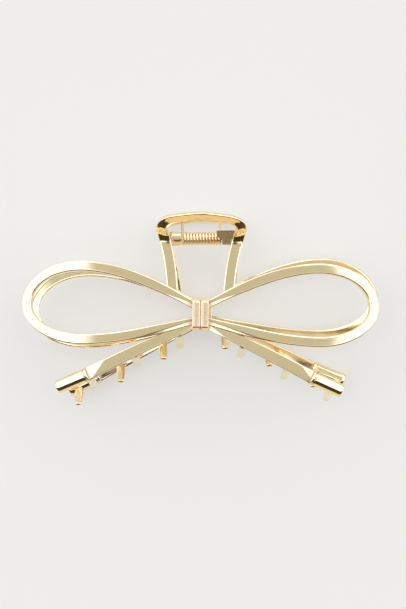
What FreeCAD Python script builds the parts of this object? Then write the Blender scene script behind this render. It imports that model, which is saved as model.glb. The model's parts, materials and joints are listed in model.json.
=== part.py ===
"""Bow-shaped spring claw clip for hair.

Two identical halves turn on one pin and a torsion spring between their handles holds them shut. Each half is
a bow of two loops and two tails tied by a knot, with a thumb handle above it and six teeth behind its tails.

A half is drawn with the pin's axis along X through the origin, its handle towards +Y and its outer face
towards +Z. The rear half is the same half turned half way round the Y axis. The closed clip then lies on the
rear half: Z = 0 is what it lies on, and the origin is under the middle of its box.
Lengths are in millimetres and angles in degrees.
"""
import FreeCAD, Part
import math
import os
from FreeCAD import Vector

# The bow, on the centrelines of its bars. x is measured from the middle of the knot, up is towards the handle.
hinge_to_knot = 22.7     # from the pin's axis down to the middle of the knot
bow_standoff = 11.4      # from the clip's middle plane out to the bow's bars at the knot
bow_curl = 4.2           # how far the far ends of the loops curl in towards the middle plane
bow_lean = 0.06          # how much further out the bow stands for each millimetre down
loop_reach = 51.7        # x of a loop's far end
loop_crown = 35.5        # x where a loop is tallest
loop_rise = 14.0         # top of a loop above the knot's middle
loop_fall = 7.8          # bottom of a loop below it
loop_end_up = 2.4        # height of the loop's far end
upper_strand_start = (1.2, 2.35)
upper_strand_angle = 29.0
lower_strand_start = (1.2, -1.75)
lower_strand_angle = 14.5
loop_bar_width = 3.0
loop_bar_thickness = 2.6

# The tails and their round caps.
tail_start = (1.0, -2.7)
tail_end = (33.0, -18.15)
tail_bow_out = 0.45      # how far a tail's middle stands above the straight line between its ends
tail_width_at_knot = 2.4
tail_width_at_cap = 3.7
tail_thickness = 2.1
tail_sink = 1.3          # how far a tail starts behind the loops' bars
tail_lift = 1.4          # how far its end stands out from the loops' curl
cap_length = 10.4
cap_wall = 0.25          # from the tail's edge out to the cap's surface
cap_radius = tail_width_at_cap / 2 + cap_wall
cap_angle = 23.8         # the cap's slope below the X axis
cap_bead_height = 0.25
cap_bead_radius = cap_radius + cap_bead_height
cap_bead_width = 0.8
cap_end_round = 0.8

# The knot's two wrapped bands.
knot_width = 4.8
knot_height = 9.6
knot_thickness = 5.0
knot_groove = 0.45
knot_waist = 0.3         # how far the core between the bands lies below them

# The thumb handle: legs that dip towards the pin, then a frame that flares out.
handle_top = 7.9         # the middle of the frame's top edge, above the pin's axis
handle_flare = 45.0      # the frame's angle from the clip's middle plane
handle_bend_down = 0.5   # the bend's corner below the pin's axis
handle_bend_radius = 5.0
leg_foot_x = 8.3         # where a leg leaves the bow
leg_foot_up = 5.6        # above the knot's middle
leg_foot_lift = 0.5      # outwards from the middle of the bow's bar
leg_foot_thickness = 1.3
handle_half_width = 11.7
handle_corner = 5.0      # length of the frame's rounded corners
handle_arch = 0.9        # rise of the top bar in its middle
leg_width = 3.3
leg_thickness = 2.1
top_bar_width = 2.6
top_bar_thickness = 1.3

# Teeth: a claw's pitch is shared, half a pitch off on one side, so that two equal halves mesh.
teeth_per_tail = 3
last_tooth_past_tail = 6.0    # x of the right side's last tooth, under its cap, past the tail's end
tooth_pitch = (tail_end[0] + last_tooth_past_tail) / teeth_per_tail
tooth_root_width = 2.4
tooth_root_depth = 1.9
tooth_tip_width = 1.3
tooth_lean = 0.5         # how much nearer to the knot the tip stands than the root
tooth_drop = 4.6         # the tip below the tail's centreline
tooth_reach = 5.5        # the tip past the clip's middle plane

# The hinge.
pin_radius = 1.0
pin_clearance = 0.05
pin_head_overhang = 0.6
pin_head_radius = pin_radius + pin_head_overhang
pin_head_thickness = 0.6
lug_wall = 0.95
lug_radius = pin_radius + pin_clearance + lug_wall
outer_lug_thickness = 1.8
inner_lug_thickness = 2.5
lug_gap = 0.2            # between neighbouring lugs, and between a lug and the spring
keeper_height = 2.1      # a block on the inner lug that covers the coil's end
keeper_overhang = 1.7
keeper_thickness = 1.8
half_skew = 1.33         # each half sits this much askew about the pin's middle, as cast
lug_foot = 0.9           # how deep a lug's web runs into its leg

# The spring.
wire_diameter = 0.8
coil_clearance = 0.25    # between the pin and the inside of the coil
coil_mean_radius = pin_radius + coil_clearance + wire_diameter / 2
coil_turns = 12
coil_gap = 0.13          # between neighbouring turns
coil_pitch = wire_diameter + coil_gap
spring_seat_gap = 0.03   # between a spring arm and the handle that it bears on
weld_tolerance = 0.001   # how closely the wire's coil and arms are joined

# Rounded edges of the bars' section, and how finely curved bars are drawn.
edge_round = 0.55
face_crown = 0.10
stations_per_curve = 7


def bezier(p0, p1, p2, p3, t):
    """Point at t, 0 to 1, of the plane cubic curve with these four control points."""
    a, b, c, d = (1 - t) ** 3, 3 * t * (1 - t) ** 2, 3 * t * t * (1 - t), t ** 3
    return tuple(a * p0[k] + b * p1[k] + c * p2[k] + d * p3[k] for k in (0, 1))


def chain(curves, stations):
    """Points along plane cubic curves laid end to end, with no point twice."""
    points = [curves[0][0]]
    for curve in curves:
        points += [bezier(*curve, (i + 1) / stations) for i in range(stations)]
    return points


def mix(a, b, t):
    """a at t = 0 and b at t = 1, with a smooth start and end."""
    t = min(1.0, max(0.0, t))
    return a + (b - a) * t * t * (3 - 2 * t)


def section(centre, across, out, width, thickness):
    """Closed outline of a bar: a rounded rectangle whose outer face is slightly crowned."""
    a, b = width / 2, thickness / 2
    r = min(edge_round, 0.45 * width, 0.45 * thickness)
    k = r * (1 - math.sqrt(0.5))

    def at(u, v):
        return centre + across * u + out * v

    corners = [
        (at(a - r, b), at(a - k, b - k), at(a, b - r)),
        (at(a, r - b), at(a - k, k - b), at(a - r, -b)),
        (at(r - a, -b), at(k - a, k - b), at(-a, r - b)),
        (at(-a, b - r), at(k - a, b - k), at(r - a, b)),
    ]
    edges = []
    for i, (start, middle, end) in enumerate(corners):
        edges.append(Part.Arc(start, middle, end).toShape())
        following = corners[(i + 1) % 4][0]
        if i < 3:
            edges.append(Part.LineSegment(end, following).toShape())
    crown = at(0, b + face_crown)
    edges.append(Part.Arc(corners[3][2], crown, corners[0][0]).toShape())
    return Part.Wire(edges)


def bar(points, normals, widths, thicknesses, ruled=False):
    """Solid bar through these points. Its section stands across the path, with its crowned face to normals.

    A ruled bar is straight from section to section, for a path with tight bends.
    """
    wires = []
    last = len(points) - 1
    for i, point in enumerate(points):
        along = (points[min(i + 1, last)] - points[max(i - 1, 0)]).normalize()
        across = normals[i].cross(along).normalize()
        out = along.cross(across).normalize()
        wires.append(section(point, across, out, widths[i], thicknesses[i]))
    return Part.makeLoft(wires, True, ruled)


def bow_z(x, up):
    """Height of the bow's curved sheet above the clip's middle plane. up is measured from the knot."""
    return bow_standoff - bow_curl * abs(x / loop_reach) ** 3 - bow_lean * up


def bow_point(x, up, lift=0.0):
    return Vector(x, up - hinge_to_knot, bow_z(x, up) + lift)


def bow_normal(x, up):
    return Vector(3 * bow_curl * x * abs(x) / loop_reach ** 3, bow_lean, 1).normalize()


def loop_outline(side):
    """Centreline of one loop, from the knot over the top, round the far end and back."""
    x0, y0 = upper_strand_start
    x1, y1 = lower_strand_start
    round_handle = 0.5523
    out, rise, fall = (loop_reach - loop_crown, loop_rise - loop_end_up, loop_fall + loop_end_up)
    first = 0.40 * (loop_crown - x0)
    second = 0.30 * (loop_crown - x0)
    up, down = math.radians(upper_strand_angle), math.radians(lower_strand_angle)
    curves = [
        ((x0, y0), (x0 + first * math.cos(up), y0 + first * math.sin(up)),
         (loop_crown - second, loop_rise), (loop_crown, loop_rise)),
        ((loop_crown, loop_rise), (loop_crown + round_handle * out, loop_rise),
         (loop_reach, loop_end_up + round_handle * rise), (loop_reach, loop_end_up)),
        ((loop_reach, loop_end_up), (loop_reach, loop_end_up - round_handle * fall),
         (loop_crown + round_handle * out, -loop_fall), (loop_crown, -loop_fall)),
        ((loop_crown, -loop_fall), (loop_crown - second, -loop_fall),
         (x1 + first * math.cos(down), y1 - first * math.sin(down)), (x1, y1)),
    ]
    return [(side * x, y) for x, y in chain(curves, stations_per_curve)]


def loop(side):
    outline = loop_outline(side)
    if side < 0:
        outline.reverse()
    points = [bow_point(x, y) for x, y in outline]
    normals = [bow_normal(x, y) for x, y in outline]
    return bar(points, normals, [loop_bar_width] * len(points), [loop_bar_thickness] * len(points))


def tail_at(t):
    """x, up and lift from the bow's sheet of a tail's centreline, from the knot at t = 0 to its cap at t = 1."""
    x = tail_start[0] + (tail_end[0] - tail_start[0]) * t
    up = tail_start[1] + (tail_end[1] - tail_start[1]) * t + 4 * tail_bow_out * t * (1 - t)
    return x, up, tail_lift * t * t - tail_sink * (1 - t) ** 2


def tail_width(t):
    return tail_width_at_knot + (tail_width_at_cap - tail_width_at_knot) * math.sin(math.pi / 2 * t)


def tail(side):
    steps = 2 * stations_per_curve
    params = [i / steps for i in range(steps + 1)]
    if side < 0:
        params.reverse()
    places = [tail_at(t) for t in params]
    points = [bow_point(side * x, up, lift) for x, up, lift in places]
    normals = [bow_normal(side * x, up) for x, up, lift in places]
    return bar(points, normals, [tail_width(t) for t in params], [tail_thickness] * len(points))


def cap_frame(side):
    """The cap's start on its axis, and the axis's direction, parallel to the clip's middle plane."""
    x, up, lift = tail_at(1.0)
    slope = math.radians(cap_angle)
    return bow_point(side * x, up, lift), Vector(side * math.cos(slope), -math.sin(slope), 0)


def cap(side):
    """Round sleeve over a tail's end, with a bead at its mouth and a rounded far edge."""
    start, along = cap_frame(side)
    body = Part.makeCylinder(cap_radius, cap_length, start, along)
    far_edge = max((e for e in body.Edges if e.Closed), key=lambda e: (e.CenterOfMass - start).dot(along))
    body = body.makeFillet(cap_end_round, [far_edge])
    bead = Part.makeCylinder(cap_bead_radius, cap_bead_width, start, along)
    rims = [e for e in bead.Edges if e.Closed]
    bead = bead.makeFillet(0.45 * cap_bead_width, rims)
    return body.fuse(bead).removeSplitter()


def lie_height():
    """How far the cap's bead stands out from the clip's middle plane, which is what the clip lies on."""
    start, along = cap_frame(1)
    return start.z + cap_bead_radius


def knot():
    """Two bands side by side round a narrower core."""
    band_width = (knot_width - knot_groove) / 2
    base = bow_point(0, 0)

    def block(x0, x1, inset, rounding):
        depth, height = knot_thickness - 2 * inset, knot_height - 2 * inset
        solid = Part.makeBox(x1 - x0, height, depth, base + Vector(x0, -height / 2, -depth / 2))
        lengthwise = [e for e in solid.Edges if abs(e.tangentAt(e.FirstParameter).x) > 0.9]
        solid = solid.makeFillet(rounding, lengthwise)
        return solid

    core = block(-knot_width / 2 + 0.2, knot_width / 2 - 0.2, knot_waist, 1.2)
    for x0 in (-knot_width / 2, knot_groove / 2):
        band = block(x0, x0 + band_width, 0, 1.4)
        sides = [f for f in band.Faces if f.Surface.TypeId == "Part::GeomPlane" and abs(f.normalAt(0, 0).x) > 0.9]
        band = band.makeFillet(0.35, [e for f in sides for e in f.Edges])
        core = core.fuse(band)
    return core.removeSplitter()


def handle_profile():
    """Side view of the handle: points and outward normals in Y and Z along its length, as a function of length."""
    flare = math.radians(handle_flare)
    half_w, half_t = top_bar_width / 2, top_bar_thickness / 2
    top_y = handle_top - half_w * math.cos(flare) - half_t * math.sin(flare)
    top_z = lie_height() - half_w * math.sin(flare) - half_t * math.cos(flare)
    frame_length = (top_y + handle_bend_down) / math.cos(flare)
    corner = (-handle_bend_down, top_z - frame_length * math.sin(flare))
    foot = (leg_foot_up - hinge_to_knot, bow_z(leg_foot_x, leg_foot_up) + leg_foot_lift)
    leg_length = math.hypot(corner[0] - foot[0], corner[1] - foot[1])
    lean = math.atan2(corner[1] - foot[1], corner[0] - foot[0])
    turn = flare - lean
    tangent = handle_bend_radius * math.tan(turn / 2)
    arc_length = handle_bend_radius * turn
    bend_start = leg_length - tangent
    total = bend_start + arc_length + frame_length - tangent

    def at(v):
        if v < bend_start:
            y, z, angle = foot[0] + v * math.cos(lean), foot[1] + v * math.sin(lean), lean
        elif v < bend_start + arc_length:
            angle = lean + (v - bend_start) / handle_bend_radius
            start_y = foot[0] + bend_start * math.cos(lean)
            start_z = foot[1] + bend_start * math.sin(lean)
            y = start_y + handle_bend_radius * (math.sin(angle) - math.sin(lean))
            z = start_z + handle_bend_radius * (math.cos(lean) - math.cos(angle))
        else:
            angle = flare
            y, z = top_y + (v - total) * math.cos(flare), top_z + (v - total) * math.sin(flare)
        return y, z, Vector(0, -math.sin(angle), math.cos(angle))

    return at, total


def handle_outline():
    """Right half of the handle's centreline: x, and the length v along the handle's profile."""
    _, total = handle_profile()
    shoulder = total - handle_arch
    hip = shoulder - handle_corner
    top_x = handle_half_width - 0.85 * handle_corner
    pull = 0.55 * handle_corner
    flare_out = 0.25
    rise = 1.5 * handle_arch / top_x
    curves = [
        ((leg_foot_x, -1.0), (leg_foot_x + 0.5, 0.4 * hip),
         (handle_half_width - 0.4 * hip * flare_out, 0.6 * hip), (handle_half_width, hip)),
        ((handle_half_width, hip), (handle_half_width + flare_out * pull, hip + pull),
         (top_x + pull, shoulder - rise * pull), (top_x, shoulder)),
        ((top_x, shoulder), (0.6 * top_x, shoulder + 0.4 * rise * top_x), (0.3 * top_x, total), (0.0, total)),
    ]
    return chain(curves, 2 * stations_per_curve)


def handle():
    """One bent frame: up one leg, over the top bar and down the other leg."""
    at, total = handle_profile()
    shoulder = total - handle_arch
    right = handle_outline()
    outline = right + [(-x, v) for x, v in reversed(right[:-1])]
    points, normals, widths, thicknesses = [], [], [], []
    for x, v in outline:
        y, z, normal = at(v)
        t = v / shoulder
        points.append(Vector(x, y, z))
        normals.append(normal)
        widths.append(mix(leg_width, top_bar_width, (t - 0.75) / 0.25))
        near_foot = mix(leg_foot_thickness, leg_thickness, t / 0.35)
        thicknesses.append(mix(near_foot, top_bar_thickness, (t - 0.55) / 0.4))
    return bar(points, normals, widths, thicknesses, ruled=True)


def tooth(x, side):
    """Curved prong from behind a tail, across the clip's middle plane and down to a narrow tip."""
    along = (abs(x) - tail_start[0]) / (tail_end[0] - tail_start[0])
    cap_start, cap_along = cap_frame(side)
    if along <= 1:
        _, up, lift = tail_at(along)
        root = bow_point(x, up, lift)
    else:
        root = cap_start + cap_along * ((x - cap_start.x) / cap_along.x)
    lower_edge = tail_width_at_cap / 2 if along > 0.3 else tail_width(along) / 2
    start = (root.y - 0.5 * lower_edge, root.z - 0.2 * tail_thickness)
    bend = (root.y - 0.55 * tooth_drop, 0.42 * root.z)
    tip = (root.y - tooth_drop - (tail_width_at_cap / 2 - lower_edge), -tooth_reach)
    steps = stations_per_curve
    wires = []
    for i in range(steps + 1):
        t = i / steps
        y, z = [(1 - t) ** 2 * start[k] + 2 * t * (1 - t) * bend[k] + t * t * tip[k] for k in (0, 1)]
        dy, dz = [(1 - t) * (bend[k] - start[k]) + t * (tip[k] - bend[k]) for k in (0, 1)]
        along_tooth = Vector(0, dy, dz).normalize()
        width = mix(tooth_root_width, tooth_tip_width, 2 * t - 1)
        depth = mix(tooth_root_depth, tooth_tip_width, t)
        if width > depth:
            oval = Part.Ellipse(Vector(0, 0, 0), width / 2, depth / 2).toShape()
        else:
            oval = Part.Circle(Vector(0, 0, 0), Vector(0, 0, 1), width / 2).toShape()
        turn = FreeCAD.Rotation(Vector(1, 0, 0), along_tooth.cross(Vector(1, 0, 0)) * -1, along_tooth, "XYZ")
        oval.Placement = FreeCAD.Placement(Vector(x - side * tooth_lean * t, y, z), turn)
        wires.append(Part.Wire(oval))
    prong = Part.makeLoft(wires, True, False)
    tip_ball = Part.makeSphere(tooth_tip_width / 2, Vector(x - side * tooth_lean, tip[0], tip[1]))
    return prong.fuse(tip_ball).removeSplitter()


def tooth_places(side):
    """x of the teeth behind one tail. The right tail's start a whole pitch out, the left tail's half a pitch."""
    first = 1.0 if side > 0 else 0.5
    return [side * (first + i) * tooth_pitch for i in range(teeth_per_tail)]


def spring_seat(x):
    """Y and Z of a spring arm's end at this x, on the inner face of its handle's top bar."""
    at, _ = handle_profile()
    _, v = min(handle_outline()[-2 * stations_per_curve:], key=lambda place: abs(place[0] - x))
    y, z, normal = at(v)
    depth = top_bar_thickness / 2 + wire_diameter / 2 + spring_seat_gap
    return y - normal.y * depth, z - normal.z * depth


def spring_layout():
    """The front arm's end, the angle from Y to Z where it leaves the coil, and the coil's length."""
    seat_y, seat_z = spring_seat(coil_turns * coil_pitch / 2)
    leave = math.atan2(seat_z, seat_y) + math.acos(coil_mean_radius / math.hypot(seat_y, seat_z))
    return seat_y, seat_z, leave, (coil_turns + 1 - leave / math.pi) * coil_pitch


def lug_faces():
    """x of the hinge's faces, counted out from the coil: inner lug in and out, outer lug in and out."""
    inner = spring_layout()[3] / 2 + wire_diameter / 2 + lug_gap
    outer = inner + inner_lug_thickness + lug_gap
    return inner, inner + inner_lug_thickness, outer, outer + outer_lug_thickness


def leg_underside():
    """Z of the leg's inner face level with the pin."""
    at, total = handle_profile()
    nearest = min((at(total * i / 200) for i in range(201)), key=lambda p: abs(p[0]))
    return nearest[1] - leg_thickness / 2


def eye(x0, x1):
    """A round eye on the pin's axis with a web up into the leg."""
    top = leg_underside() + lug_foot
    ring = Part.makeCylinder(lug_radius, x1 - x0, Vector(x0, 0, 0), Vector(1, 0, 0))
    web = Part.makeBox(x1 - x0, 1.8 * lug_radius, top, Vector(x0, -0.9 * lug_radius, 0))
    return ring.fuse(web).removeSplitter()


def pin_hole():
    reach = 2 * lug_faces()[3]
    return Part.makeCylinder(pin_radius + pin_clearance, reach, Vector(-reach / 2, 0, 0), Vector(1, 0, 0))


def outer_lug():
    """Left-hand lug, right under its leg."""
    _, _, x0, x1 = lug_faces()
    return eye(-x1, -x0).cut(pin_hole())


def inner_lug():
    """Right-hand lug, inboard of the other half's lug, with a foot across to its leg that covers the coil's end."""
    x0, x1, _, far = lug_faces()
    top = leg_underside() + lug_foot
    foot_end = far - 0.5 * outer_lug_thickness
    foot = Part.makeBox(foot_end - x0 + keeper_overhang, keeper_height, keeper_thickness,
                        Vector(x0 - keeper_overhang, 0.1, top - keeper_thickness))
    return eye(x0, x1).fuse(foot).removeSplitter().cut(pin_hole())


def pin():
    """Plain pin with a peened head outside each outer lug."""
    reach = lug_faces()[3] + lug_gap
    shaft = Part.makeCylinder(pin_radius, 2 * reach, Vector(-reach, 0, 0), Vector(1, 0, 0))
    for side in (-1, 1):
        head = Part.makeCylinder(pin_head_radius, pin_head_thickness, Vector(side * reach, 0, 0), Vector(side, 0, 0))
        rim = max((e for e in head.Edges if e.Closed), key=lambda e: abs(e.CenterOfMass.x))
        head = head.makeFillet(0.7 * pin_head_thickness, [rim])
        shaft = shaft.fuse(head)
    return shaft.removeSplitter()


def spring():
    """One wire: an arm on the front handle, the coil from left to right, an arm on the rear handle."""
    seat_y, seat_z, leave, length = spring_layout()
    helix = Part.makeHelix(coil_pitch, length, coil_mean_radius)
    # The helix rises along Z from X. Turned so that it runs along +X and starts where the front arm leaves.
    turn = FreeCAD.Rotation(Vector(0, 1, 0), Vector(0, 0, 1), Vector(1, 0, 0), "XYZ")
    spin = FreeCAD.Rotation(Vector(1, 0, 0), math.degrees(leave))
    helix.Placement = FreeCAD.Placement(Vector(-length / 2, 0, 0), spin.multiply(turn))
    start = helix.Edges[0].valueAt(helix.Edges[0].FirstParameter)
    direction = helix.Edges[0].tangentAt(helix.Edges[0].FirstParameter)
    ring = Part.Wire(Part.Circle(start, direction, wire_diameter / 2).toShape())
    coil = Part.Wire(helix.Edges).makePipeShell([ring], True, True)
    arms = []
    for side in (-1, 1):
        # The front arm is at the coil's left end and the rear arm at its right end.
        foot = Vector(side * length / 2, coil_mean_radius * math.cos(leave),
                      -side * coil_mean_radius * math.sin(leave))
        end = Vector(side * length / 2, seat_y, -side * seat_z)
        arm = end - foot
        arms.append(Part.makeCylinder(wire_diameter / 2, arm.Length, foot, arm))
        arms.append(Part.makeSphere(wire_diameter / 2, foot))
    return coil.fuse(arms, weld_tolerance)


def half():
    """Every piece of one half, by name, in the half's own frame. Pieces meet face to face."""
    turned = FreeCAD.Placement(Vector(0, 0, 0), FreeCAD.Rotation(Vector(0, 0, 1), -half_skew))
    pieces = {"knot": knot()}
    for name, side in (("left", -1), ("right", 1)):
        pieces["loop_" + name] = loop(side).cut(pieces["knot"])
    both_loops = [pieces["loop_left"], pieces["loop_right"]]
    for name, side in (("left", -1), ("right", 1)):
        pieces["cap_" + name] = cap(side)
        pieces["tail_" + name] = tail(side).cut([pieces["knot"], pieces["cap_" + name]] + both_loops)
        teeth = [tooth(x, side) for x in tooth_places(side)]
        teeth = [t.cut([pieces["tail_" + name], pieces["cap_" + name], pieces["knot"]] + both_loops)
                 for t in teeth]
        pieces["teeth_" + name] = Part.makeCompound([biggest(t) for t in teeth])
    pieces["handle"] = handle().cut([pieces["knot"]] + both_loops)
    for shape in pieces.values():
        shape.Placement = turned.multiply(shape.Placement)
    pieces["outer_lug"] = biggest(outer_lug().cut(pieces["handle"]))
    pieces["inner_lug"] = biggest(inner_lug().cut(pieces["handle"]))
    for name in pieces:
        if not name.startswith("teeth"):
            pieces[name] = biggest(pieces[name])
    return pieces


def biggest(shape):
    """The largest solid of a shape, without the slivers that a cut can leave beyond a neighbour."""
    return max(shape.Solids, key=lambda s: s.Volume)


def clip():
    """All nodes by name, lying on the rear half, with the origin under the middle of the clip's box."""
    nodes = {}
    turn_over = FreeCAD.Placement(Vector(0, 0, 0), FreeCAD.Rotation(Vector(0, 1, 0), 180))
    for name, shape in half().items():
        nodes["front_" + name] = shape
        rear = shape.copy()
        rear.Placement = turn_over.multiply(rear.Placement)
        nodes["rear_" + name] = rear
    nodes["hinge_pin"] = pin()
    nodes["torsion_spring"] = spring()
    box = Part.makeCompound(list(nodes.values())).optimalBoundingBox(True, False)
    move = Vector(-(box.XMin + box.XMax) / 2, -(box.YMin + box.YMax) / 2, -box.ZMin)
    for shape in nodes.values():
        shape.translate(move)
    return nodes, move, box


def main():
    nodes, move, box = clip()
    os.makedirs("parts", exist_ok=True)
    for name, shape in nodes.items():
        shape.exportStep(os.path.join("parts", name + ".step"))
        print(f"{name:18s} solids {len(shape.Solids)} valid {shape.isValid()} volume {shape.Volume:8.2f}")
    print(f"hinge axis at y {move.y:.4f} z {move.z:.4f}, box {box.XLength:.2f} {box.YLength:.2f} {box.ZLength:.2f}")


main()
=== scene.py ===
"""Looks of a bow-shaped spring claw clip: two gold-plated castings, a pin and a torsion spring.

Shapes are worked out in millimetres in one half's own frame, with the pin's axis along X through the origin,
the handle towards +Y and the outer face towards +Z, and go into meshes in metres in the CAD model's frame.
"""
import json
import bpy
import numpy as np
from mathutils import Matrix, Vector


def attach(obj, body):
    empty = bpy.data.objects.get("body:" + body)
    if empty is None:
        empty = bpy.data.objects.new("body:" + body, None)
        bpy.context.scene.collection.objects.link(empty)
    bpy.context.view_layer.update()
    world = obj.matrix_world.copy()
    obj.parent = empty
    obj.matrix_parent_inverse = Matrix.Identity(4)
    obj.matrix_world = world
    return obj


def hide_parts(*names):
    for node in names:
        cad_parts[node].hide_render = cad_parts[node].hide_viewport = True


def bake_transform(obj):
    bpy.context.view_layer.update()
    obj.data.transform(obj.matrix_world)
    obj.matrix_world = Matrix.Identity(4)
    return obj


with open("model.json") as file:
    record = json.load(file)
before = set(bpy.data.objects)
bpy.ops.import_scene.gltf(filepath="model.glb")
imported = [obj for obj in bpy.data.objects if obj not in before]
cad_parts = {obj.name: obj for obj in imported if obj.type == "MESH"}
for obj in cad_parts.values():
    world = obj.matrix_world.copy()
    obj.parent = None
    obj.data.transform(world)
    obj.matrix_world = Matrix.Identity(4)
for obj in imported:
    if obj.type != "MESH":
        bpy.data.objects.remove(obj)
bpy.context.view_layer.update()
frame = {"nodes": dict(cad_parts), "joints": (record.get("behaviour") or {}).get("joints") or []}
hinge = np.array(frame["joints"][0]["pos_m"]) * 1000

# The bow: heights above the clip's middle plane, and places measured from the knot's middle.
HINGE_TO_KNOT = 22.7
BOW_STANDOFF, BOW_CURL, BOW_LEAN = 11.4, 4.2, 0.06
LOOP_REACH, LOOP_CROWN, LOOP_RISE, LOOP_FALL, LOOP_END = 51.7, 35.5, 14.0, 7.8, 2.4
UPPER_START, UPPER_ANGLE = (1.2, 2.35), np.radians(29.0)
LOWER_START, LOWER_ANGLE = (1.2, -1.75), np.radians(14.5)
BAR_THICKNESS, BAR_ROUND = 2.6, 0.48
TAIL_START, TAIL_END, TAIL_BOW = (1.0, -2.7), (33.0, -18.15), 0.45
TAIL_NARROW, TAIL_WIDE, TAIL_THICKNESS, TAIL_SINK, TAIL_LIFT = 2.4, 3.7, 2.1, 1.3, 1.4
CAP_LENGTH, CAP_RADIUS, CAP_BEAD, CAP_SLOPE, CAP_DIP = 10.4, 2.1, 2.35, np.radians(23.8), np.radians(8.5)
KNOT_WIDTH, KNOT_HEIGHT, KNOT_DEPTH = 4.8, 9.6, 5.0
HANDLE_TOP, HANDLE_FLARE, BEND_DOWN, BEND_RADIUS = 7.9, np.radians(45.0), 0.5, 5.0
FOOT_X, FOOT_UP, FOOT_LIFT = 8.3, 5.6, 0.5
HANDLE_HALF, HANDLE_CORNER, HANDLE_ARCH = 11.7, 5.0, 0.9
LEG_WIDTH, LEG_THICKNESS, FOOT_THICKNESS, TOP_WIDTH, TOP_THICKNESS = 3.3, 2.1, 1.3, 2.6, 1.3
TOOTH_PITCH, TOOTH_LEAN, TOOTH_DROP, TOOTH_REACH = 13.0, 0.5, 4.6, 5.5
TOOTH_ROOT, TOOTH_TIP = 2.7, 2.15
HALF_SKEW = np.radians(-1.33)
WIRE_RADIUS, COIL_RADIUS, COIL_TURNS, COIL_PITCH, SEAT_GAP = 0.4, 1.65, 12, 0.93, 0.03
HANDLE_TOP_X = HANDLE_HALF - 0.85 * HANDLE_CORNER  # where the top bar's corner ends
ARM_SEAT_SHARE = 0.75  # of the arch's fall at the arm's x, where the arm meets the top bar
KNOT_SIDE = 2.4  # where the members come out of the knot's side
CROWN = 0.02  # how far the front of a bar rises in its middle
QUARTER_CIRCLE = 0.5523  # handle of a cubic curve that follows a quarter of a circle


# ---- Curves and profiles ----

def smooth(t):
    """0 below t = 0, 1 above t = 1, and 3t^2 - 2t^3 between."""
    t = np.clip(t, 0, 1)
    return t * t * (3 - 2 * t)


def chain(curves, count):
    """Points along plane cubic curves laid end to end: (1-t)^3 A + 3t(1-t)^2 B + 3t^2(1-t) C + t^3 D."""
    t = np.linspace(0, 1, count, endpoint=False)[:, None]
    runs = [(1 - t) ** 3 * np.array(a) + 3 * t * (1 - t) ** 2 * np.array(b)
            + 3 * t * t * (1 - t) * np.array(c) + t ** 3 * np.array(d) for a, b, c, d in curves]
    return np.vstack(runs + [np.array(curves[-1][3])[None]])


def unit(v):
    """Vectors made a unit long."""
    return v / np.linalg.norm(v, axis=-1, keepdims=True)


def outline_table(arc, front, side, back):
    """A rounded rectangle once round, from the middle of its back face, counterclockwise.

    Each point is (p, q) times the half sizes less the rounding, plus (cos, sin) times the rounding. The last
    column is 1 in the middle of a corner and 0 on the flats. arc is the steps round a corner, and front, side
    and back are the points on each flat.
    """
    rows = []
    signs = ((1, 1), (-1, 1), (-1, -1), (1, -1))
    quarter = np.pi / 2
    for corner, (p, q) in enumerate(signs):
        turn = quarter * (corner + np.linspace(0, 1, arc + 1))
        bend = np.sin(2 * (turn - quarter * corner)) ** 2
        rows.append(np.column_stack([np.full(arc + 1, p), np.full(arc + 1, q), np.cos(turn), np.sin(turn), bend]))
        after = signs[(corner + 1) % 4]
        count = (front, side, back, side)[corner]
        s = np.linspace(0, 1, count + 2)[1:-1]
        facing = quarter * (corner + 1)
        rows.append(np.column_stack([p + (after[0] - p) * s, q + (after[1] - q) * s,
                                     np.full(count, np.cos(facing)), np.full(count, np.sin(facing)),
                                     np.zeros(count)]))
    back_flat = sum(len(row) for row in rows[:-3])
    return np.roll(np.vstack(rows), -(back_flat + len(rows[-3]) // 2), axis=0)


BAR_OUTLINE = outline_table(5, 13, 4, 5)


def rounded(half_width, half_thickness, rounding):
    """Outline of a bar at each station: across and out offsets, and how far into a corner each point is.

    The front face is raised by CROWN times 1 - (u/a)^2.
    """
    p, q, c, s, bend = BAR_OUTLINE.T
    a, b, r = (np.atleast_1d(v)[:, None] for v in (half_width, half_thickness, rounding))
    u = p * (a - r) + c * r
    v = q * (b - r) + s * r
    v = v + np.where(s > 0.5, CROWN * (1 - (u / a) ** 2), 0)
    return u, v, np.broadcast_to(bend, u.shape) * 1.0


def slice_front(u, v, b, slope, line):
    """Presses the front face back where u is past line, by slope for each millimetre."""
    return np.minimum(v, b + CROWN - slope * np.maximum(0, u - line))


def carry(points, normals, u, v):
    """A profile carried along a path: P + u * across + v * out, with across = normal x along."""
    along = unit(np.gradient(points, axis=0))
    across = unit(np.cross(normals, along))
    out = np.cross(along, across)
    return points[:, None] + u[..., None] * across[:, None] + v[..., None] * out[:, None]


def run_length(points):
    """Distance along a path to each of its points."""
    return np.concatenate([[0], np.cumsum(np.linalg.norm(np.diff(points, axis=0), axis=1))])


# ---- The members of one half ----

def bow_height(x, up):
    """Height of the bow's curved sheet: standoff - curl * |x / reach|^3 - lean * up."""
    return BOW_STANDOFF - BOW_CURL * np.abs(x / LOOP_REACH) ** 3 - BOW_LEAN * up


def bow_point(x, up, lift=0.0):
    """A point of the bow's sheet, raised by lift."""
    return np.stack([x, up - HINGE_TO_KNOT, bow_height(x, up) + lift], axis=-1)


def bow_normal(x, up):
    """Normal of the bow's sheet: (3 * curl * x|x| / reach^3, lean, 1), made a unit long."""
    return unit(np.stack([3 * BOW_CURL * x * np.abs(x) / LOOP_REACH ** 3, BOW_LEAN + 0 * up, 1 + 0 * up], axis=-1))


def near_knot(x):
    """Painted crease shade with grime, strongest where a member comes out of the knot: exp(-((x - side) / 1.1)^2)."""
    return np.exp(-((x - KNOT_SIDE) / 1.1) ** 2)


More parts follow.
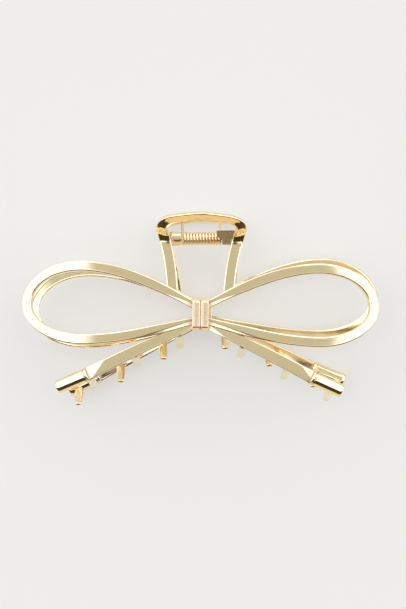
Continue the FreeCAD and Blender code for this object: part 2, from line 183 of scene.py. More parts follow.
def loop_member(side):
    """One loop: four cubic curves from the knot over the top, round the far end and back, with a bar's profile.

    The bar swells from the knot to the middle of each strand, and its lower front edge is hollowed near the knot.
    """
    (x0, y0), (x1, y1) = UPPER_START, LOWER_START
    out, rise, fall = LOOP_REACH - LOOP_CROWN, LOOP_RISE - LOOP_END, LOOP_FALL + LOOP_END
    first, second = 0.40 * (LOOP_CROWN - x0), 0.30 * (LOOP_CROWN - x0)
    curves = [
        ((x0, y0), (x0 + first * np.cos(UPPER_ANGLE), y0 + first * np.sin(UPPER_ANGLE)),
         (LOOP_CROWN - second, LOOP_RISE), (LOOP_CROWN, LOOP_RISE)),
        ((LOOP_CROWN, LOOP_RISE), (LOOP_CROWN + QUARTER_CIRCLE * out, LOOP_RISE),
         (LOOP_REACH, LOOP_END + QUARTER_CIRCLE * rise), (LOOP_REACH, LOOP_END)),
        ((LOOP_REACH, LOOP_END), (LOOP_REACH, LOOP_END - QUARTER_CIRCLE * fall),
         (LOOP_CROWN + QUARTER_CIRCLE * out, -LOOP_FALL), (LOOP_CROWN, -LOOP_FALL)),
        ((LOOP_CROWN, -LOOP_FALL), (LOOP_CROWN - second, -LOOP_FALL),
         (x1 + first * np.cos(LOWER_ANGLE), y1 - first * np.sin(LOWER_ANGLE)), (x1, y1)),
    ]
    path = chain(curves, 44)
    upper = np.arange(len(path)) < len(path) / 2
    if side < 0:
        path, upper = path[::-1], upper[::-1]
    x, y = path.T
    width = 2.35 + 0.8 * smooth((x - 2) / 14) - 0.35 * smooth((x - 38) / 13)
    half, b = width / 2, np.full(len(x), BAR_THICKNESS / 2)
    u, v, bend = rounded(half, b, BAR_ROUND + 0 * x)
    fade = np.where(upper, 11.5, 22.0)
    line = (-0.15 + 1.15 * np.clip((x - KNOT_SIDE) / fade, 0, None))[:, None] * half[:, None]
    low = np.where(upper, -1.0, 1.0)[:, None]
    v = slice_front(low * u, v, b[:, None], np.where(upper, 0.17, 0.15)[:, None], line)
    points, normals = bow_point(side * x, y), bow_normal(side * x, y)
    # The crease by the knot is darkened as painted shade with grime, and the corners are paled as painted highlight
    # with wear.
    return grid_of(carry(points, normals, u, v), run_length(points), bend, near_knot(x))


def tail_line(t):
    """x, up and lift of a tail's centreline: a straight line, bowed by 4 * bow * t(1-t)."""
    x = TAIL_START[0] + (TAIL_END[0] - TAIL_START[0]) * t
    up = TAIL_START[1] + (TAIL_END[1] - TAIL_START[1]) * t + 4 * TAIL_BOW * t * (1 - t)
    return x, up, TAIL_LIFT * t * t - TAIL_SINK * (1 - t) ** 2


def tail_width(t):
    """Width of a tail: narrow + (wide - narrow) * sin(90 degrees * t), level past its end."""
    return TAIL_NARROW + (TAIL_WIDE - TAIL_NARROW) * np.sin(np.pi / 2 * np.clip(t, 0, 1))


def tail_member(side):
    """One tail: a bar that widens to its cap, with a three-cornered flat filed on its upper front edge there."""
    t = np.linspace(0, 1.012, 90)
    if side < 0:
        t = t[::-1]
    x, up, lift = tail_line(t)
    half, b = tail_width(t) / 2, np.full(len(t), TAIL_THICKNESS / 2)
    u, v, bend = rounded(half, b, 0.34 + 0 * t)
    back = (1 - t) * 35.5
    deep, far = (-1.0, 6.5) if side < 0 else (-0.2, 4.4)
    line = (deep + (1 - deep) * back / far)[:, None] * half[:, None]
    v = slice_front(u, v, b[:, None], 0.18, line)
    near = (-0.2 + 1.2 * np.clip((x - KNOT_SIDE) / 7, 0, None))[:, None] * half[:, None]
    v = slice_front(-u, v, b[:, None], 0.16, near)
    points, normals = bow_point(side * x, up, lift), bow_normal(side * x, up)
    # Darker by the knot and where the tail meets its cap: painted crease shade with grime.
    crease_shade_grime_weight = near_knot(x) + np.exp(-(back / 0.6) ** 2)
    return grid_of(carry(points, normals, u, v), run_length(points), bend, crease_shade_grime_weight)


def cap_frame(side):
    """Where a cap starts, at its tail's end, and the direction of its axis, which dips towards the back."""
    x, up, lift = tail_line(1.0)
    start = bow_point(side * x, up, lift)
    level = np.cos(CAP_DIP)
    return start, np.array([side * np.cos(CAP_SLOPE) * level, -np.sin(CAP_SLOPE) * level, -np.sin(CAP_DIP)])


def turned(profile, start, axis, steps=56):
    """A lathe shape: for each (s, r) of the profile, a circle of radius r about the axis, s along it."""
    s, r = profile.T
    side_a = unit(np.cross(axis, [0.0, 0.0, 1.0]))
    side_b = np.cross(axis, side_a)
    turn = np.linspace(0, 2 * np.pi, steps, endpoint=False) - np.pi / 2
    ring = np.cos(turn)[:, None] * side_a + np.sin(turn)[:, None] * side_b
    return start + s[:, None, None] * axis + r[:, None, None] * ring


def rounding_rows(s0, r0, s1, r1, count):
    """Quarter of an ellipse from (s0, r0) to (s1, r1), leaving along s."""
    t = np.linspace(0, np.pi / 2, count)
    return np.column_stack([s0 + (s1 - s0) * np.sin(t), r1 + (r0 - r1) * np.cos(t)])


def cap_member(side):
    """One round cap: a bead, a groove, a slightly tapered barrel and a rounded end."""
    bead = np.linspace(0.35, np.pi - 0.35, 11)
    rows = np.vstack([
        [(0.0, 1.6), (0.0, 2.05)],
        np.column_stack([0.4 - 0.4 * np.cos(bead), CAP_BEAD - 0.3 + 0.3 * np.sin(bead)]),
        [(0.80, CAP_RADIUS - 0.05), (0.90, CAP_RADIUS - 0.09), (1.0, CAP_RADIUS - 0.03), (1.15, CAP_RADIUS)],
        np.column_stack([np.linspace(1.6, CAP_LENGTH - 1.0, 14), np.linspace(CAP_RADIUS, CAP_RADIUS - 0.04, 14)]),
        rounding_rows(CAP_LENGTH - 0.85, CAP_RADIUS - 0.04, CAP_LENGTH, CAP_RADIUS - 0.85, 9),
        [(CAP_LENGTH + 0.02, 0.7)],
    ])
    start, axis = cap_frame(side)
    s = rows[:, 0]
    # The bead's top and the end are paled as painted highlight with wear; the groove behind the bead and the joint
    # with the tail are darkened as painted shade with grime.
    bend = np.exp(-((s - 0.4) / 0.25) ** 2)[:, None] + np.exp(-((s - CAP_LENGTH + 0.2) / 0.3) ** 2)[:, None]
    crease_shade_grime_weight = np.exp(-((s - 0.95) / 0.15) ** 2) + np.exp(-((s + 0.1) / 0.15) ** 2)
    points = turned(rows, start, axis)
    return grid_of(points, s, np.broadcast_to(bend, points.shape[:2]), crease_shade_grime_weight)


def knot_member():
    """The knot: an outline in Y and Z with chamfered front corners, carried across X by the two bands' profile.

    Each band has two ridges with a shallow hollow between, and a deep groove parts the bands. The outline is
    |y/h|^9 + |z/d|^9 = 1, cut along a line near each corner.
    """
    half_h, half_d = KNOT_HEIGHT / 2, KNOT_DEPTH / 2
    steps, power, chamfer = 120, 9, 0.62
    cut_y, cut_z = 0.72, 0.69  # direction of the corners' cut
    band_round, rim_round = 0.28, 0.34
    turn = np.linspace(0, 2 * np.pi, steps, endpoint=False) - np.pi / 2
    c, s = np.cos(turn), np.sin(turn)
    radius = (np.abs(c) ** power + np.abs(s) ** power) ** (-1 / power)
    y, z = half_h * c * radius, half_d * s * radius
    cut = np.where(z > 0, 1.22, 1.0)
    over = np.maximum(0, np.abs(y) * cut_y + np.abs(z) * cut_z - (half_h * cut_y + half_d * cut_z - chamfer * cut))
    y, z = y - np.sign(y) * over * cut_y, z - np.sign(z) * over * cut_z
    facing = unit(np.column_stack([np.gradient(z), -np.gradient(y)]))
    half = KNOT_WIDTH / 2
    x = np.concatenate([[-half + 0.12], -half + band_round * (1 - np.cos(np.linspace(0, np.pi / 2, 6))),
                        np.linspace(-half + 0.36, half - 0.36, 47),
                        half - band_round * (1 - np.cos(np.linspace(np.pi / 2, 0, 6))), [half - 0.12]])
    ax = np.abs(x)
    groove = -0.42 * np.exp(-(ax / 0.17) ** 2)
    hollow = -0.032 * np.cos(2 * np.pi * (ax - 0.22) / (half - 0.22)) - 0.032
    past = np.clip(ax - half + rim_round, 0, rim_round) / rim_round
    edge = -rim_round * (1 - np.sqrt(np.clip(1 - past ** 2, 0, 1)))
    h = groove + hollow * (ax < half - 0.2) + edge
    h[[0, -1]] = -1.6
    points = np.zeros((len(x), steps, 3))
    points[..., 0] = x[:, None]
    points[..., 1] = y + facing[:, 0] * h[:, None] - HINGE_TO_KNOT
    points[..., 2] = z + facing[:, 1] * h[:, None] + BOW_STANDOFF
    # The band edges are paled as painted highlight with wear; the groove between the bands is darkened as painted
    # shade with grime.
    bend = np.broadcast_to((np.exp(-((ax - half + 0.2) / 0.15) ** 2))[:, None], points.shape[:2])
    return grid_of(points, x, bend, np.exp(-(ax / 0.2) ** 2))


def handle_line(v):
    """Side view of the handle at length v: a straight leg, an arc, and a straight flared frame, with normals."""
    flare = HANDLE_FLARE
    lie = bow_height(TAIL_END[0], TAIL_END[1]) + TAIL_LIFT + CAP_BEAD
    half_w, half_t = TOP_WIDTH / 2, TOP_THICKNESS / 2
    top_y = HANDLE_TOP - half_w * np.cos(flare) - half_t * np.sin(flare)
    top_z = lie - half_w * np.sin(flare) - half_t * np.cos(flare)
    frame_length = (top_y + BEND_DOWN) / np.cos(flare)
    corner = (-BEND_DOWN, top_z - frame_length * np.sin(flare))
    foot = (FOOT_UP - HINGE_TO_KNOT, bow_height(FOOT_X, FOOT_UP) + FOOT_LIFT)
    lean = np.arctan2(corner[1] - foot[1], corner[0] - foot[0])
    tangent = BEND_RADIUS * np.tan((flare - lean) / 2)
    arc = BEND_RADIUS * (flare - lean)
    start = np.hypot(corner[0] - foot[0], corner[1] - foot[1]) - tangent
    total = start + arc + frame_length - tangent
    angle = np.clip(lean + (v - start) / BEND_RADIUS, lean, flare)
    leg, after = np.minimum(v, start), np.maximum(v - start - arc, 0)
    y = foot[0] + leg * np.cos(lean) + BEND_RADIUS * (np.sin(angle) - np.sin(lean)) + after * np.cos(flare)
    z = foot[1] + leg * np.sin(lean) + BEND_RADIUS * (np.cos(lean) - np.cos(angle)) + after * np.sin(flare)
    return y, z, np.stack([0 * angle, -np.sin(angle), np.cos(angle)], axis=-1), total


def handle_member():
    """The bent thumb frame: up one leg, over the top bar and down the other leg, tapering to the top."""
    total = float(handle_line(np.array(0.0))[3])
    shoulder = total - HANDLE_ARCH
    hip = shoulder - HANDLE_CORNER
    top_x, pull, flare_out = HANDLE_TOP_X, 0.55 * HANDLE_CORNER, 0.25
    rise = 1.5 * HANDLE_ARCH / top_x
    curves = [
        ((FOOT_X, 0.35), (FOOT_X + 0.5, 0.4 * hip),
         (HANDLE_HALF - 0.4 * hip * flare_out, 0.6 * hip), (HANDLE_HALF, hip)),
        ((HANDLE_HALF, hip), (HANDLE_HALF + flare_out * pull, hip + pull),
         (top_x + pull, shoulder - rise * pull), (top_x, shoulder)),
        ((top_x, shoulder), (0.6 * top_x, shoulder + 0.4 * rise * top_x), (0.3 * top_x, total), (0.0, total)),
    ]
    right = chain(curves, 60)
    path = np.vstack([right, (right * [-1, 1])[::-1][1:]])
    x, v_along = path.T
    y, z, normals, _ = handle_line(v_along)
    corner = np.exp(-((v_along - hip - 0.40 * HANDLE_CORNER) / (0.62 * HANDLE_CORNER)) ** 2)
    normals = unit(normals + np.stack([0.34 * np.tanh(x / 4) * corner, 0 * x, 0 * x], axis=-1))
    t = v_along / shoulder
    width = LEG_WIDTH + (TOP_WIDTH - LEG_WIDTH) * smooth((t - 0.75) / 0.25)
    leg = FOOT_THICKNESS + (LEG_THICKNESS - FOOT_THICKNESS) * smooth(t / 0.35)
    thickness = leg + (TOP_THICKNESS - leg) * smooth((t - 0.55) / 0.4)
    u, v, bend = rounded(width / 2, thickness / 2, 0.30 + 0 * x)
    points = np.stack([x, y, z], axis=-1)
    # Darker at the foot where the frame leaves the bow: painted crease shade with grime.
    return grid_of(carry(points, normals, u, v), run_length(points), bend, np.exp(-(v_along / 1.2) ** 2))


def tooth_member(x, side):
    """One prong: a quadratic curve from behind the tail to its tip, with a keeled oval profile and a round end."""
    along = (abs(x) - TAIL_START[0]) / (TAIL_END[0] - TAIL_START[0])
    cap_start, cap_axis = cap_frame(side)
    if along <= 1:
        line_x, up, lift = tail_line(along)
        root = bow_point(side * line_x, up, lift)
    else:
        root = cap_start + cap_axis * ((x - cap_start[0]) / cap_axis[0])
    lower = TAIL_WIDE / 2 if along > 0.3 else tail_width(along) / 2
    start = np.array([root[1] - 0.5 * lower, root[2] - 0.2 * TAIL_THICKNESS])
    elbow = np.array([root[1] - 0.55 * TOOTH_DROP, 0.42 * root[2]])
    tip = np.array([root[1] - TOOTH_DROP - (TAIL_WIDE / 2 - lower), -TOOTH_REACH])
    shaft_rows, tip_rows, tip_turn = 22, 7, 1.5
    t = np.linspace(0, 1, shaft_rows)[:, None]
    yz = (1 - t) ** 2 * start + 2 * t * (1 - t) * elbow + t * t * tip
    heading = unit((1 - t) * (elbow - start) + t * (tip - elbow))
    t = t[:, 0]
    end = np.linspace(0, 1, tip_rows + 1)[1:]
    yz = np.vstack([yz, tip + 0.63 * np.sin(end * tip_turn)[:, None] * heading[-1]])
    heading = np.vstack([heading, np.repeat(heading[-1:], tip_rows, axis=0)])
    t = np.concatenate([t, np.ones(tip_rows)])
    shrink = np.concatenate([np.ones(shaft_rows), np.cos(end * tip_turn)])
    width = (TOOTH_ROOT + (TOOTH_TIP - TOOTH_ROOT) * smooth(2 * t - 1)) / 2 * shrink
    depth = (1.9 + (1.4 - 1.9) * smooth(t)) / 2 * shrink
    turn = np.linspace(0, 2 * np.pi, 28, endpoint=False)
    c, s = np.cos(turn), np.sin(turn)
    u = width[:, None] * np.sign(c) * np.abs(c) ** 1.12
    v = depth[:, None] * np.sign(s) * np.abs(s) ** 1.12
    points = np.column_stack([x - side * TOOTH_LEAN * t, yz])
    across = np.array([1.0, 0.0, 0.0])
    out = np.column_stack([0 * t, -heading[:, 1], heading[:, 0]])
    body = points[:, None] + u[..., None] * across + v[..., None] * out[:, None]
    # Darker at the root where the tooth leaves the tail: painted crease shade with grime.
    return grid_of(body[:, ::-1], run_length(points), 0 * u, 0.6 * np.exp(-(run_length(points) / 1.5) ** 2))


def teeth_member(side):
    """Three teeth, a pitch apart; the left side's are half a pitch nearer the middle than the right side's."""
    first = 1.0 if side > 0 else 0.5
    return [tooth_member(side * (first + i) * TOOTH_PITCH, side) for i in range(3)]


# ---- The spring ----

def spring_member():
    """One wire: a straight arm, a helix about X, and a straight arm, with round ends.

    The helix leaves each arm along its own tangent, so the wire has no kink.
    """
    half_length = float(handle_line(np.array(0.0))[3])
    arm_x = COIL_TURNS * COIL_PITCH / 2
    v_seat = half_length - HANDLE_ARCH * smooth(np.array(arm_x / HANDLE_TOP_X)) * ARM_SEAT_SHARE
    y, z, normal, _ = handle_line(np.array(v_seat))
    depth = TOP_THICKNESS / 2 + WIRE_RADIUS + SEAT_GAP
    seat = np.array([float(y) - normal[1] * depth, float(z) - normal[2] * depth])
    leave = np.arctan2(seat[1], seat[0]) + np.arccos(COIL_RADIUS / np.hypot(*seat))
    turns = COIL_TURNS + 1 - leave / np.pi
    length = turns * COIL_PITCH
    theta = np.linspace(0, 2 * np.pi * turns, 420)
    ring = leave + theta
    coil = np.column_stack([theta / (2 * np.pi) * COIL_PITCH - length / 2,
                            COIL_RADIUS * np.cos(ring), COIL_RADIUS * np.sin(ring)])
    foot, last = coil[0], coil[-1]
    share = np.concatenate([np.linspace(0, 0.9, 10), [0.95, 0.98]])[:, None]
    front = np.array([foot[0], *seat]) * (1 - share) + foot * share
    rear = (np.array([last[0], seat[0], -seat[1]]) * (1 - share) + last * share)[::-1]
    points = np.vstack([front, coil, rear])
    radial = np.column_stack([0 * ring, np.cos(ring), np.sin(ring)])
    normals = np.vstack([np.repeat(radial[:1], len(front), 0), radial, np.repeat(radial[-1:], len(rear), 0)])
    ends = np.linspace(1.5, 0, 5)
    lead = points[:1] - unit(points[1:2] - points[:1]) * WIRE_RADIUS * np.sin(ends)[:, None]
    tail = points[-1:] + unit(points[-1:] - points[-2:-1]) * WIRE_RADIUS * np.sin(ends[::-1])[:, None]
    size = np.concatenate([np.cos(ends), np.ones(len(points) - 2), np.cos(ends[::-1])]) * WIRE_RADIUS
    path = np.vstack([lead, points[1:-1], tail])
    facing = np.vstack([np.repeat(normals[:1], 4, 0), normals, np.repeat(normals[-1:], 4, 0)])
    turn = np.linspace(0, 2 * np.pi, 14, endpoint=False) - np.pi / 2
    u, v = size[:, None] * np.cos(turn), size[:, None] * np.sin(turn)
    return grid_of(carry(path, facing, u, v), run_length(path), 0 * u, 0 * size)


# ---- Meshes ----

def grid_of(points, run, bend, crease_shade_grime_weight):
    """A grid of points with what the finish needs: distance along, distance around, corner for the painted highlight
    with wear, and the weight of painted crease shade with grime.
    """
    around = np.linalg.norm(np.diff(points, axis=1, prepend=points[:, :1]), axis=2).cumsum(axis=1)
    lay = np.stack([np.broadcast_to(run[:, None], around.shape), around, 0 * around], axis=-1)
    return {"points": points, "lay": lay, "rim": bend, "nook": np.broadcast_to(crease_shade_grime_weight[:, None], around.shape)}


def placed(points, front):
    """From a half's own frame to the clip's: skewed about Z, turned half way round Y for the rear, and moved."""
    c, s = np.cos(HALF_SKEW), np.sin(HALF_SKEW)
    moved = points @ np.array([[c, -s, 0], [s, c, 0], [0, 0, 1]]).T
    if not front:
        moved = moved * [-1, 1, -1]
    return moved + hinge


def piece(name, grids, place, material):
    """A mesh of grids that are closed round their columns, each with a fan over its first and last row."""
    corners, faces, fields = [], [], {"rim": [], "nook": [], "lay": []}
    offset = 0
    for g in grids:
        rows, columns = g["points"].shape[:2]
        flat = g["points"].reshape(-1, 3)
        ends = np.stack([g["points"][0].mean(axis=0), g["points"][-1].mean(axis=0)])
        corners.append(place(np.vstack([flat, ends])))
        i, j = np.meshgrid(np.arange(rows - 1), np.arange(columns), indexing="ij")
        k = (j + 1) % columns
        quads = np.stack([i * columns + j, i * columns + k, (i + 1) * columns + k, (i + 1) * columns + j], axis=-1)
        ring = np.arange(columns)
        after = (ring + 1) % columns
        first, last = rows * columns, rows * columns + 1
        fan0 = np.column_stack([after, ring, np.full(columns, first)])
        fan1 = np.column_stack([ring, after, np.full(columns, 0)]) + (rows - 1) * columns
        fan1[:, 2] = last
        faces += (quads.reshape(-1, 4) + offset).tolist() + (fan0 + offset).tolist() + (fan1 + offset).tolist()
        for key, width in (("rim", 1), ("nook", 1), ("lay", 3)):
            data = np.asarray(g[key], float).reshape(rows * columns, width)
            fields[key].append(np.vstack([data, data[:1], data[-1:]]))
        offset += rows * columns + 2
    mesh = bpy.data.meshes.new(name)
    mesh.from_pydata((np.vstack(corners) / 1000).tolist(), [], faces)
    mesh.polygons.foreach_set("use_smooth", np.ones(len(mesh.polygons), bool))
    for key, kind in (("rim", "FLOAT"), ("nook", "FLOAT"), ("lay", "FLOAT_VECTOR")):
        attribute = mesh.attributes.new(key, kind, "POINT")
        attribute.data.foreach_set("vector" if key == "lay" else "value",
                                   np.vstack(fields[key]).astype(np.float32).ravel())
    mesh.update()
    made = placed_object(name, mesh, material)
    return made


def placed_object(name, mesh, material):
    """An object of a mesh with one material, in the scene."""
    made = bpy.data.objects.new(name, mesh)
    bpy.context.scene.collection.objects.link(made)
    mesh.materials.append(material)
    return made


# ---- Finishes ----

class Socket:
    """An output socket that takes part in arithmetic by adding Math nodes."""

    def __init__(self, shop, link):
        self.shop, self.link = shop, link

    def math(self, operation, a, b):
        return self.shop.add("ShaderNodeMath", {"operation": operation}, {0: a, 1: b})

    def __add__(self, other):
        return self.math("ADD", self, other)

    def __sub__(self, other):
        return self.math("SUBTRACT", self, other)

    def __rsub__(self, other):
        return self.math("SUBTRACT", other, self)

    def __mul__(self, other):
        return self.math("MULTIPLY", self, other)

    __radd__, __rmul__ = __add__, __mul__


class Shop:
    """Adds nodes to one tree: a node's type, its settings first, and then its sockets."""

    def __init__(self, tree):
        self.tree = tree
        tree.nodes.clear()

    def add(self, kind, settings=None, sockets=None, output=0):
        node = self.tree.nodes.new(kind)
        for key, value in (settings or {}).items():
            setattr(node, key, value)
        for key, value in (sockets or {}).items():
            if isinstance(value, Socket):
                self.tree.links.new(value.link, node.inputs[key])
            else:
                node.inputs[key].default_value = value
        return Socket(self, node.outputs[output]) if node.outputs else None

    def mixed(self, factor, a, b):
        """Colour a where factor is 0 and b where it is 1."""
        return self.add("ShaderNodeMix", {"data_type": "RGBA"}, {0: factor, 6: a, 7: b}, 2)

    def noise(self, where, scale, detail=3.0, roughness=0.55):
        return self.add("ShaderNodeTexNoise", {"noise_dimensions": "3D"},
                        {"Vector": where, "Scale": scale, "Detail": detail, "Roughness": roughness})

    def between(self, value, low, high, to_low=0.0, to_high=1.0):
        return self.add("ShaderNodeMapRange", {"clamp": True},
                        {"Value": value, "From Min": low, "From Max": high, "To Min": to_low, "To Max": to_high})


def blank_material(name):
    """A material with no nodes, and the shop that adds them."""
    material = bpy.data.materials.new(name)
    material.use_nodes = True
    return material, Shop(material.node_tree)


def plated_metal(name, base, warm, polish, wave, lined, seed):
    """Polished plating over a casting or a drawn wire.

    base is its colour and warm the colour of thicker, redder plating, mixed in at random; polish is the mean
    roughness;
    wave is how far the cast surface rolls, in metres; lined says that polishing marks follow the piece. Corners are
    paled towards a cream tone, a painted highlight along with wear, and creases are darkened towards a brown tone,
    painted shade along with grime.
    """
    material, shop = blank_material(name)
    place = shop.add("ShaderNodeTexCoord", output=3)
    shifted = shop.add("ShaderNodeMapping", {"vector_type": "POINT"},
                       {"Vector": place, "Location": (0.013 * seed, 0.007 * seed, 0.0)})
    rim = shop.add("ShaderNodeAttribute", {"attribute_name": "rim"}, output=2)
    nook = shop.add("ShaderNodeAttribute", {"attribute_name": "nook"}, output=2)
    cloud = shop.noise(shifted, 140.0, 2.0)
    fine = shop.noise(shifted, 2600.0, 3.0)
    smudge = shop.between(shop.noise(shifted, 330.0, 4.0, 0.62), 0.45, 0.72)
    if lined:
        lay = shop.add("ShaderNodeAttribute", {"attribute_name": "lay"}, output=1)
        along = shop.add("ShaderNodeVectorMath", {"operation": "MULTIPLY"}, {0: lay, 1: (0.22, 7.0, 1.0)})
    else:
        along = shop.add("ShaderNodeVectorMath", {"operation": "MULTIPLY"}, {0: shifted, 1: (240.0, 6400.0, 2600.0)})
    marks = shop.noise(along, 1.0, 3.0, 0.6)
    scratch_lay = shop.add("ShaderNodeMapping", {"vector_type": "POINT"},
                           {"Vector": shifted, "Rotation": (0.0, 0.0, 0.9), "Scale": (900.0, 9000.0, 900.0)})
    scratch = shop.between(shop.noise(scratch_lay, 1.0, 2.0, 0.5), 0.70, 0.76)

    tone = shop.mixed(shop.between(cloud, 0.35, 0.68), (*base, 1), (*warm, 1))
    # Pale cream tone for the corners: a painted edge highlight along with wear.
    edge_highlight_and_wear_tone = tuple(min(1.0, c * 0.35 + 0.66 * k) for c, k in zip(base, (1.0, 0.93, 0.76)))
    tone = shop.mixed(rim * 0.55, tone, (*edge_highlight_and_wear_tone, 1))
    # Creases are darkened towards a dark brown: painted shade along with grime.
    tone = shop.mixed(nook * shop.between(fine, 0.3, 0.7, 0.35, 0.8), tone,
                      (warm[0] * 0.50, warm[1] * 0.40, warm[2] * 0.30, 1))
    rough = polish + smudge * 0.05 + (marks - 0.5) * 0.05 + scratch * 0.07 + nook * 0.16 - rim * 0.02
    rolling = shop.noise(shifted, 260.0, 1.0) * (wave / 0.00001) + marks * 0.05 + fine * 0.03 - scratch * 0.10
    relief = shop.add("ShaderNodeBump", {}, {"Strength": 1.0, "Distance": 0.00001, "Height": rolling})
    surface = shop.add("ShaderNodeBsdfPrincipled", {}, {
        "Base Color": tone, "Metallic": 1.0, "Roughness": shop.between(rough, 0.02, 0.6, 0.02, 0.6),
        "Normal": relief, "Coat Weight": 0.12, "Coat Roughness": 0.05, "Coat IOR": 1.45})
    shop.add("ShaderNodeOutputMaterial", {}, {"Surface": surface})
    return material


GOLD = (0.94, 0.795, 0.485)
ROSE = (0.94, 0.765, 0.435)
finishes = {
    "knot_gold": plated_metal("knot_gold", (0.95, 0.80, 0.53), (0.95, 0.75, 0.46), 0.26, 0.000006, True, 1),
    "bow_gold": plated_metal("bow_gold", GOLD, ROSE, 0.075, 0.000008, True, 2),
    "tail_gold": plated_metal("tail_gold", GOLD, ROSE, 0.085, 0.000008, True, 3),
    "cap_gold": plated_metal("cap_gold", GOLD, ROSE, 0.06, 0.000004, True, 4),
    "teeth_gold": plated_metal("teeth_gold", GOLD, (0.92, 0.70, 0.34), 0.12, 0.000012, True, 5),
    "handle_gold": plated_metal("handle_gold", GOLD, ROSE, 0.085, 0.000008, True, 6),
    "lug_gold": plated_metal("lug_gold", (0.90, 0.74, 0.43), (0.86, 0.66, 0.34), 0.16, 0.00001, False, 7),
    # A darker copy of the lug finish, for the front inner lug only: painted shade.
    "lug_painted_shade": plated_metal("lug_painted_shade", (0.44, 0.32, 0.15), (0.36, 0.24, 0.10), 0.22, 0.00001, False, 10),
    "pin_steel": plated_metal("pin_steel", (0.88, 0.76, 0.50), (0.82, 0.68, 0.42), 0.20, 0.000004, False, 8),
    "spring_steel": plated_metal("spring_steel", (0.92, 0.74, 0.44), (0.90, 0.66, 0.32), 0.13, 0.000002, True, 9),
}


# ---- The clip ----

members = [
    ("knot", lambda: [knot_member()], "knot_gold"),
    ("loop_left", lambda: [loop_member(-1)], "bow_gold"),
    ("loop_right", lambda: [loop_member(1)], "bow_gold"),
    ("tail_left", lambda: [tail_member(-1)], "tail_gold"),
    ("tail_right", lambda: [tail_member(1)], "tail_gold"),
    ("cap_left", lambda: [cap_member(-1)], "cap_gold"),
    ("cap_right", lambda: [cap_member(1)], "cap_gold"),
    ("teeth_left", lambda: teeth_member(-1), "teeth_gold"),
    ("teeth_right", lambda: teeth_member(1), "teeth_gold"),
    ("handle", lambda: [handle_member()], "handle_gold"),
]
for half in ("front", "rear"):
    for member, shape, slot in members:
        node = half + "_" + member
        made = piece("gold_" + node, shape(), lambda p, h=half: placed(p, h == "front"), finishes[slot])
        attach(made, half + "_half")
        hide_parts(node)
# The front inner lug takes the darker copy of the lug finish as painted shade.
for node, finish in (("front_outer_lug", "lug_gold"), ("front_inner_lug", "lug_painted_shade"),
                     ("rear_outer_lug", "lug_gold"), ("rear_inner_lug", "lug_gold"), ("hinge_pin", "pin_steel")):
    kept = frame["nodes"][node].data.materials
    kept.clear()
    kept.append(finishes[finish])

spring = piece("spring_wire", [spring_member()], lambda p: p + hinge, finishes["spring_steel"])
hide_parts("torsion_spring")
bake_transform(spring)


# ---- The studio ----

def paper():
    """Matte white paper: a faint cloudy tone and a fine tooth."""
    material, shop = blank_material("backdrop_paper")
    place = shop.add("ShaderNodeTexCoord", output=3)
    cloud = shop.noise(place, 4.0, 2.0)
    tone = shop.mixed(cloud, (0.335, 0.326, 0.268, 1), (0.345, 0.336, 0.278, 1))
    tooth = shop.add("ShaderNodeBump", {}, {"Strength": 0.2, "Distance": 0.00005,
                                             "Height": shop.noise(place, 1500.0, 3.0)})
    surface = shop.add("ShaderNodeBsdfPrincipled", {}, {"Base Color": tone, "Roughness": 0.95,
                                                        "Specular IOR Level": 0.1, "Normal": tooth,
                                                        "Emission Color": (0.492, 0.489, 0.478, 1),
                                                        "Emission Strength": 1.0})
    shop.add("ShaderNodeOutputMaterial", {}, {"Surface": surface})
    return material


def studio_floor():
    """A level square of paper just under the clip."""
    mesh = bpy.data.meshes.new("floor")
    reach, under = 6.0, -0.00002
    mesh.from_pydata([(-reach, -reach, under), (reach, -reach, under), (reach, reach, under),
                      (-reach, reach, under)], [], [(0, 1, 2, 3)])
    placed_object("floor", mesh, paper())


def front_card(name, x0, x1, glow):
    """A low card that stands in front of the tails' side and shows only in reflections."""
    mesh = bpy.data.meshes.new(name)
    mesh.from_pydata([(x0, -0.5, 0.0), (x1, -0.5, 0.0), (x1, -0.5, 0.16), (x0, -0.5, 0.16)], [], [(3, 2, 1, 0)])
    material, shop = blank_material(name)
    surface = shop.add("ShaderNodeEmission", {}, {"Color": (*glow, 1), "Strength": 1.0})
    shop.add("ShaderNodeOutputMaterial", {}, {"Surface": surface})
    card = placed_object(name, mesh, material)
    card.visible_camera = False
    card.visible_diffuse = False


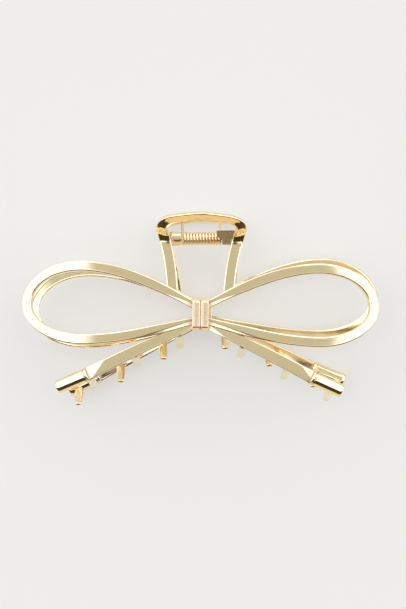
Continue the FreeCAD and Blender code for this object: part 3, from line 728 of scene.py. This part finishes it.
def studio_sky():
    """A white tent with a grey-tan panel overhead and a dark gap towards the front."""
    world = bpy.data.worlds.new("studio")
    bpy.context.scene.world = world
    world.use_nodes = True
    shop = Shop(world.node_tree)
    look = shop.add("ShaderNodeTexCoord", output=0)
    apart = shop.tree.nodes.new("ShaderNodeSeparateXYZ")
    shop.tree.links.new(look.link, apart.inputs[0])
    x, y, z = (Socket(shop, apart.outputs[i]) for i in range(3))
    wide = shop.between(x, -0.27, -0.22) * shop.between(x, 0.37, 0.32) * shop.between(y, 0.30, 0.22)
    narrow = shop.between(x, -0.16, -0.11) * shop.between(x, 0.16, 0.11) * shop.between(y, 0.86, 0.78)
    panel = shop.add("ShaderNodeMath", {"operation": "MAXIMUM"}, {0: wide, 1: narrow}) * shop.between(y, -0.19, -0.15)
    gap_low = shop.between(y, -0.33, -0.39)
    gap_mid = shop.between(x, -0.055, -0.035) * shop.between(x, 0.055, 0.035) * shop.between(y, 0.09, -0.12)
    gap = shop.add("ShaderNodeMath", {"operation": "MAXIMUM"}, {0: gap_low, 1: gap_mid})
    low = shop.between(z, 0.03, -0.03)
    tone = shop.mixed(panel, (1.62, 1.66, 2.05, 1), (0.62, 0.62, 0.60, 1))
    tone = shop.mixed(gap, tone, (0.06, 0.045, 0.03, 1))
    tone = shop.mixed(low, tone, (0.86, 0.84, 0.80, 1))
    seen = shop.add("ShaderNodeLightPath", output=0)
    tone = shop.mixed(seen, tone, (0.84, 0.835, 0.81, 1))
    sky = shop.add("ShaderNodeBackground", {}, {"Color": tone, "Strength": 1.0})
    shop.add("ShaderNodeOutputWorld", {}, {"Surface": sky})


def soft_light(name, where, aim, size, power):
    """A square soft box that the camera doesn't see."""
    lamp = bpy.data.lights.new(name, "AREA")
    lamp.shape, lamp.size, lamp.energy = "SQUARE", size, power
    lamp.color = (1.0, 0.985, 0.955)
    box = bpy.data.objects.new(name, lamp)
    bpy.context.scene.collection.objects.link(box)
    box.location = where
    box.rotation_euler = (Vector(aim) - Vector(where)).to_track_quat("-Z", "Y").to_euler()
    box.visible_camera = False


def camera():
    """Straight above the clip, looking down and a little from its tails' side."""
    hy, hz = hinge[1] / 1000, hinge[2] / 1000
    eye, aim = Vector((0.00037, hy - 0.0109, hz + 0.710)), Vector((0.00027, hy - 0.0199, hz))
    back = (eye - aim).normalized()
    right = Vector((0.0105, 1, 0)).cross(back).normalized()
    up = back.cross(right)
    data = bpy.data.cameras.new("camera")
    data.lens, data.sensor_width, data.clip_start = 139.2, 36.0, 0.01
    rig = bpy.data.objects.new("camera", data)
    bpy.context.scene.collection.objects.link(rig)
    rig.matrix_world = Matrix((
        (right.x, up.x, back.x, eye.x), (right.y, up.y, back.y, eye.y),
        (right.z, up.z, back.z, eye.z), (0, 0, 0, 1)))
    bpy.context.scene.camera = rig


studio_floor()
studio_sky()
front_card("warm_card", -0.14, 0.16, (0.95, 0.72, 0.44))
front_card("dark_card_left", -0.60, -0.14, (0.10, 0.06, 0.02))
front_card("dark_card_right", 0.16, 0.60, (0.10, 0.06, 0.02))
soft_light("soft_left", (-0.55, 0.45, 0.75), (0, 0, 0), 0.45, 0.35)
soft_light("soft_right", (0.65, 0.25, 0.70), (0, 0, 0), 0.40, 0.20)
camera()
bpy.context.scene.view_settings.view_transform = "Standard"
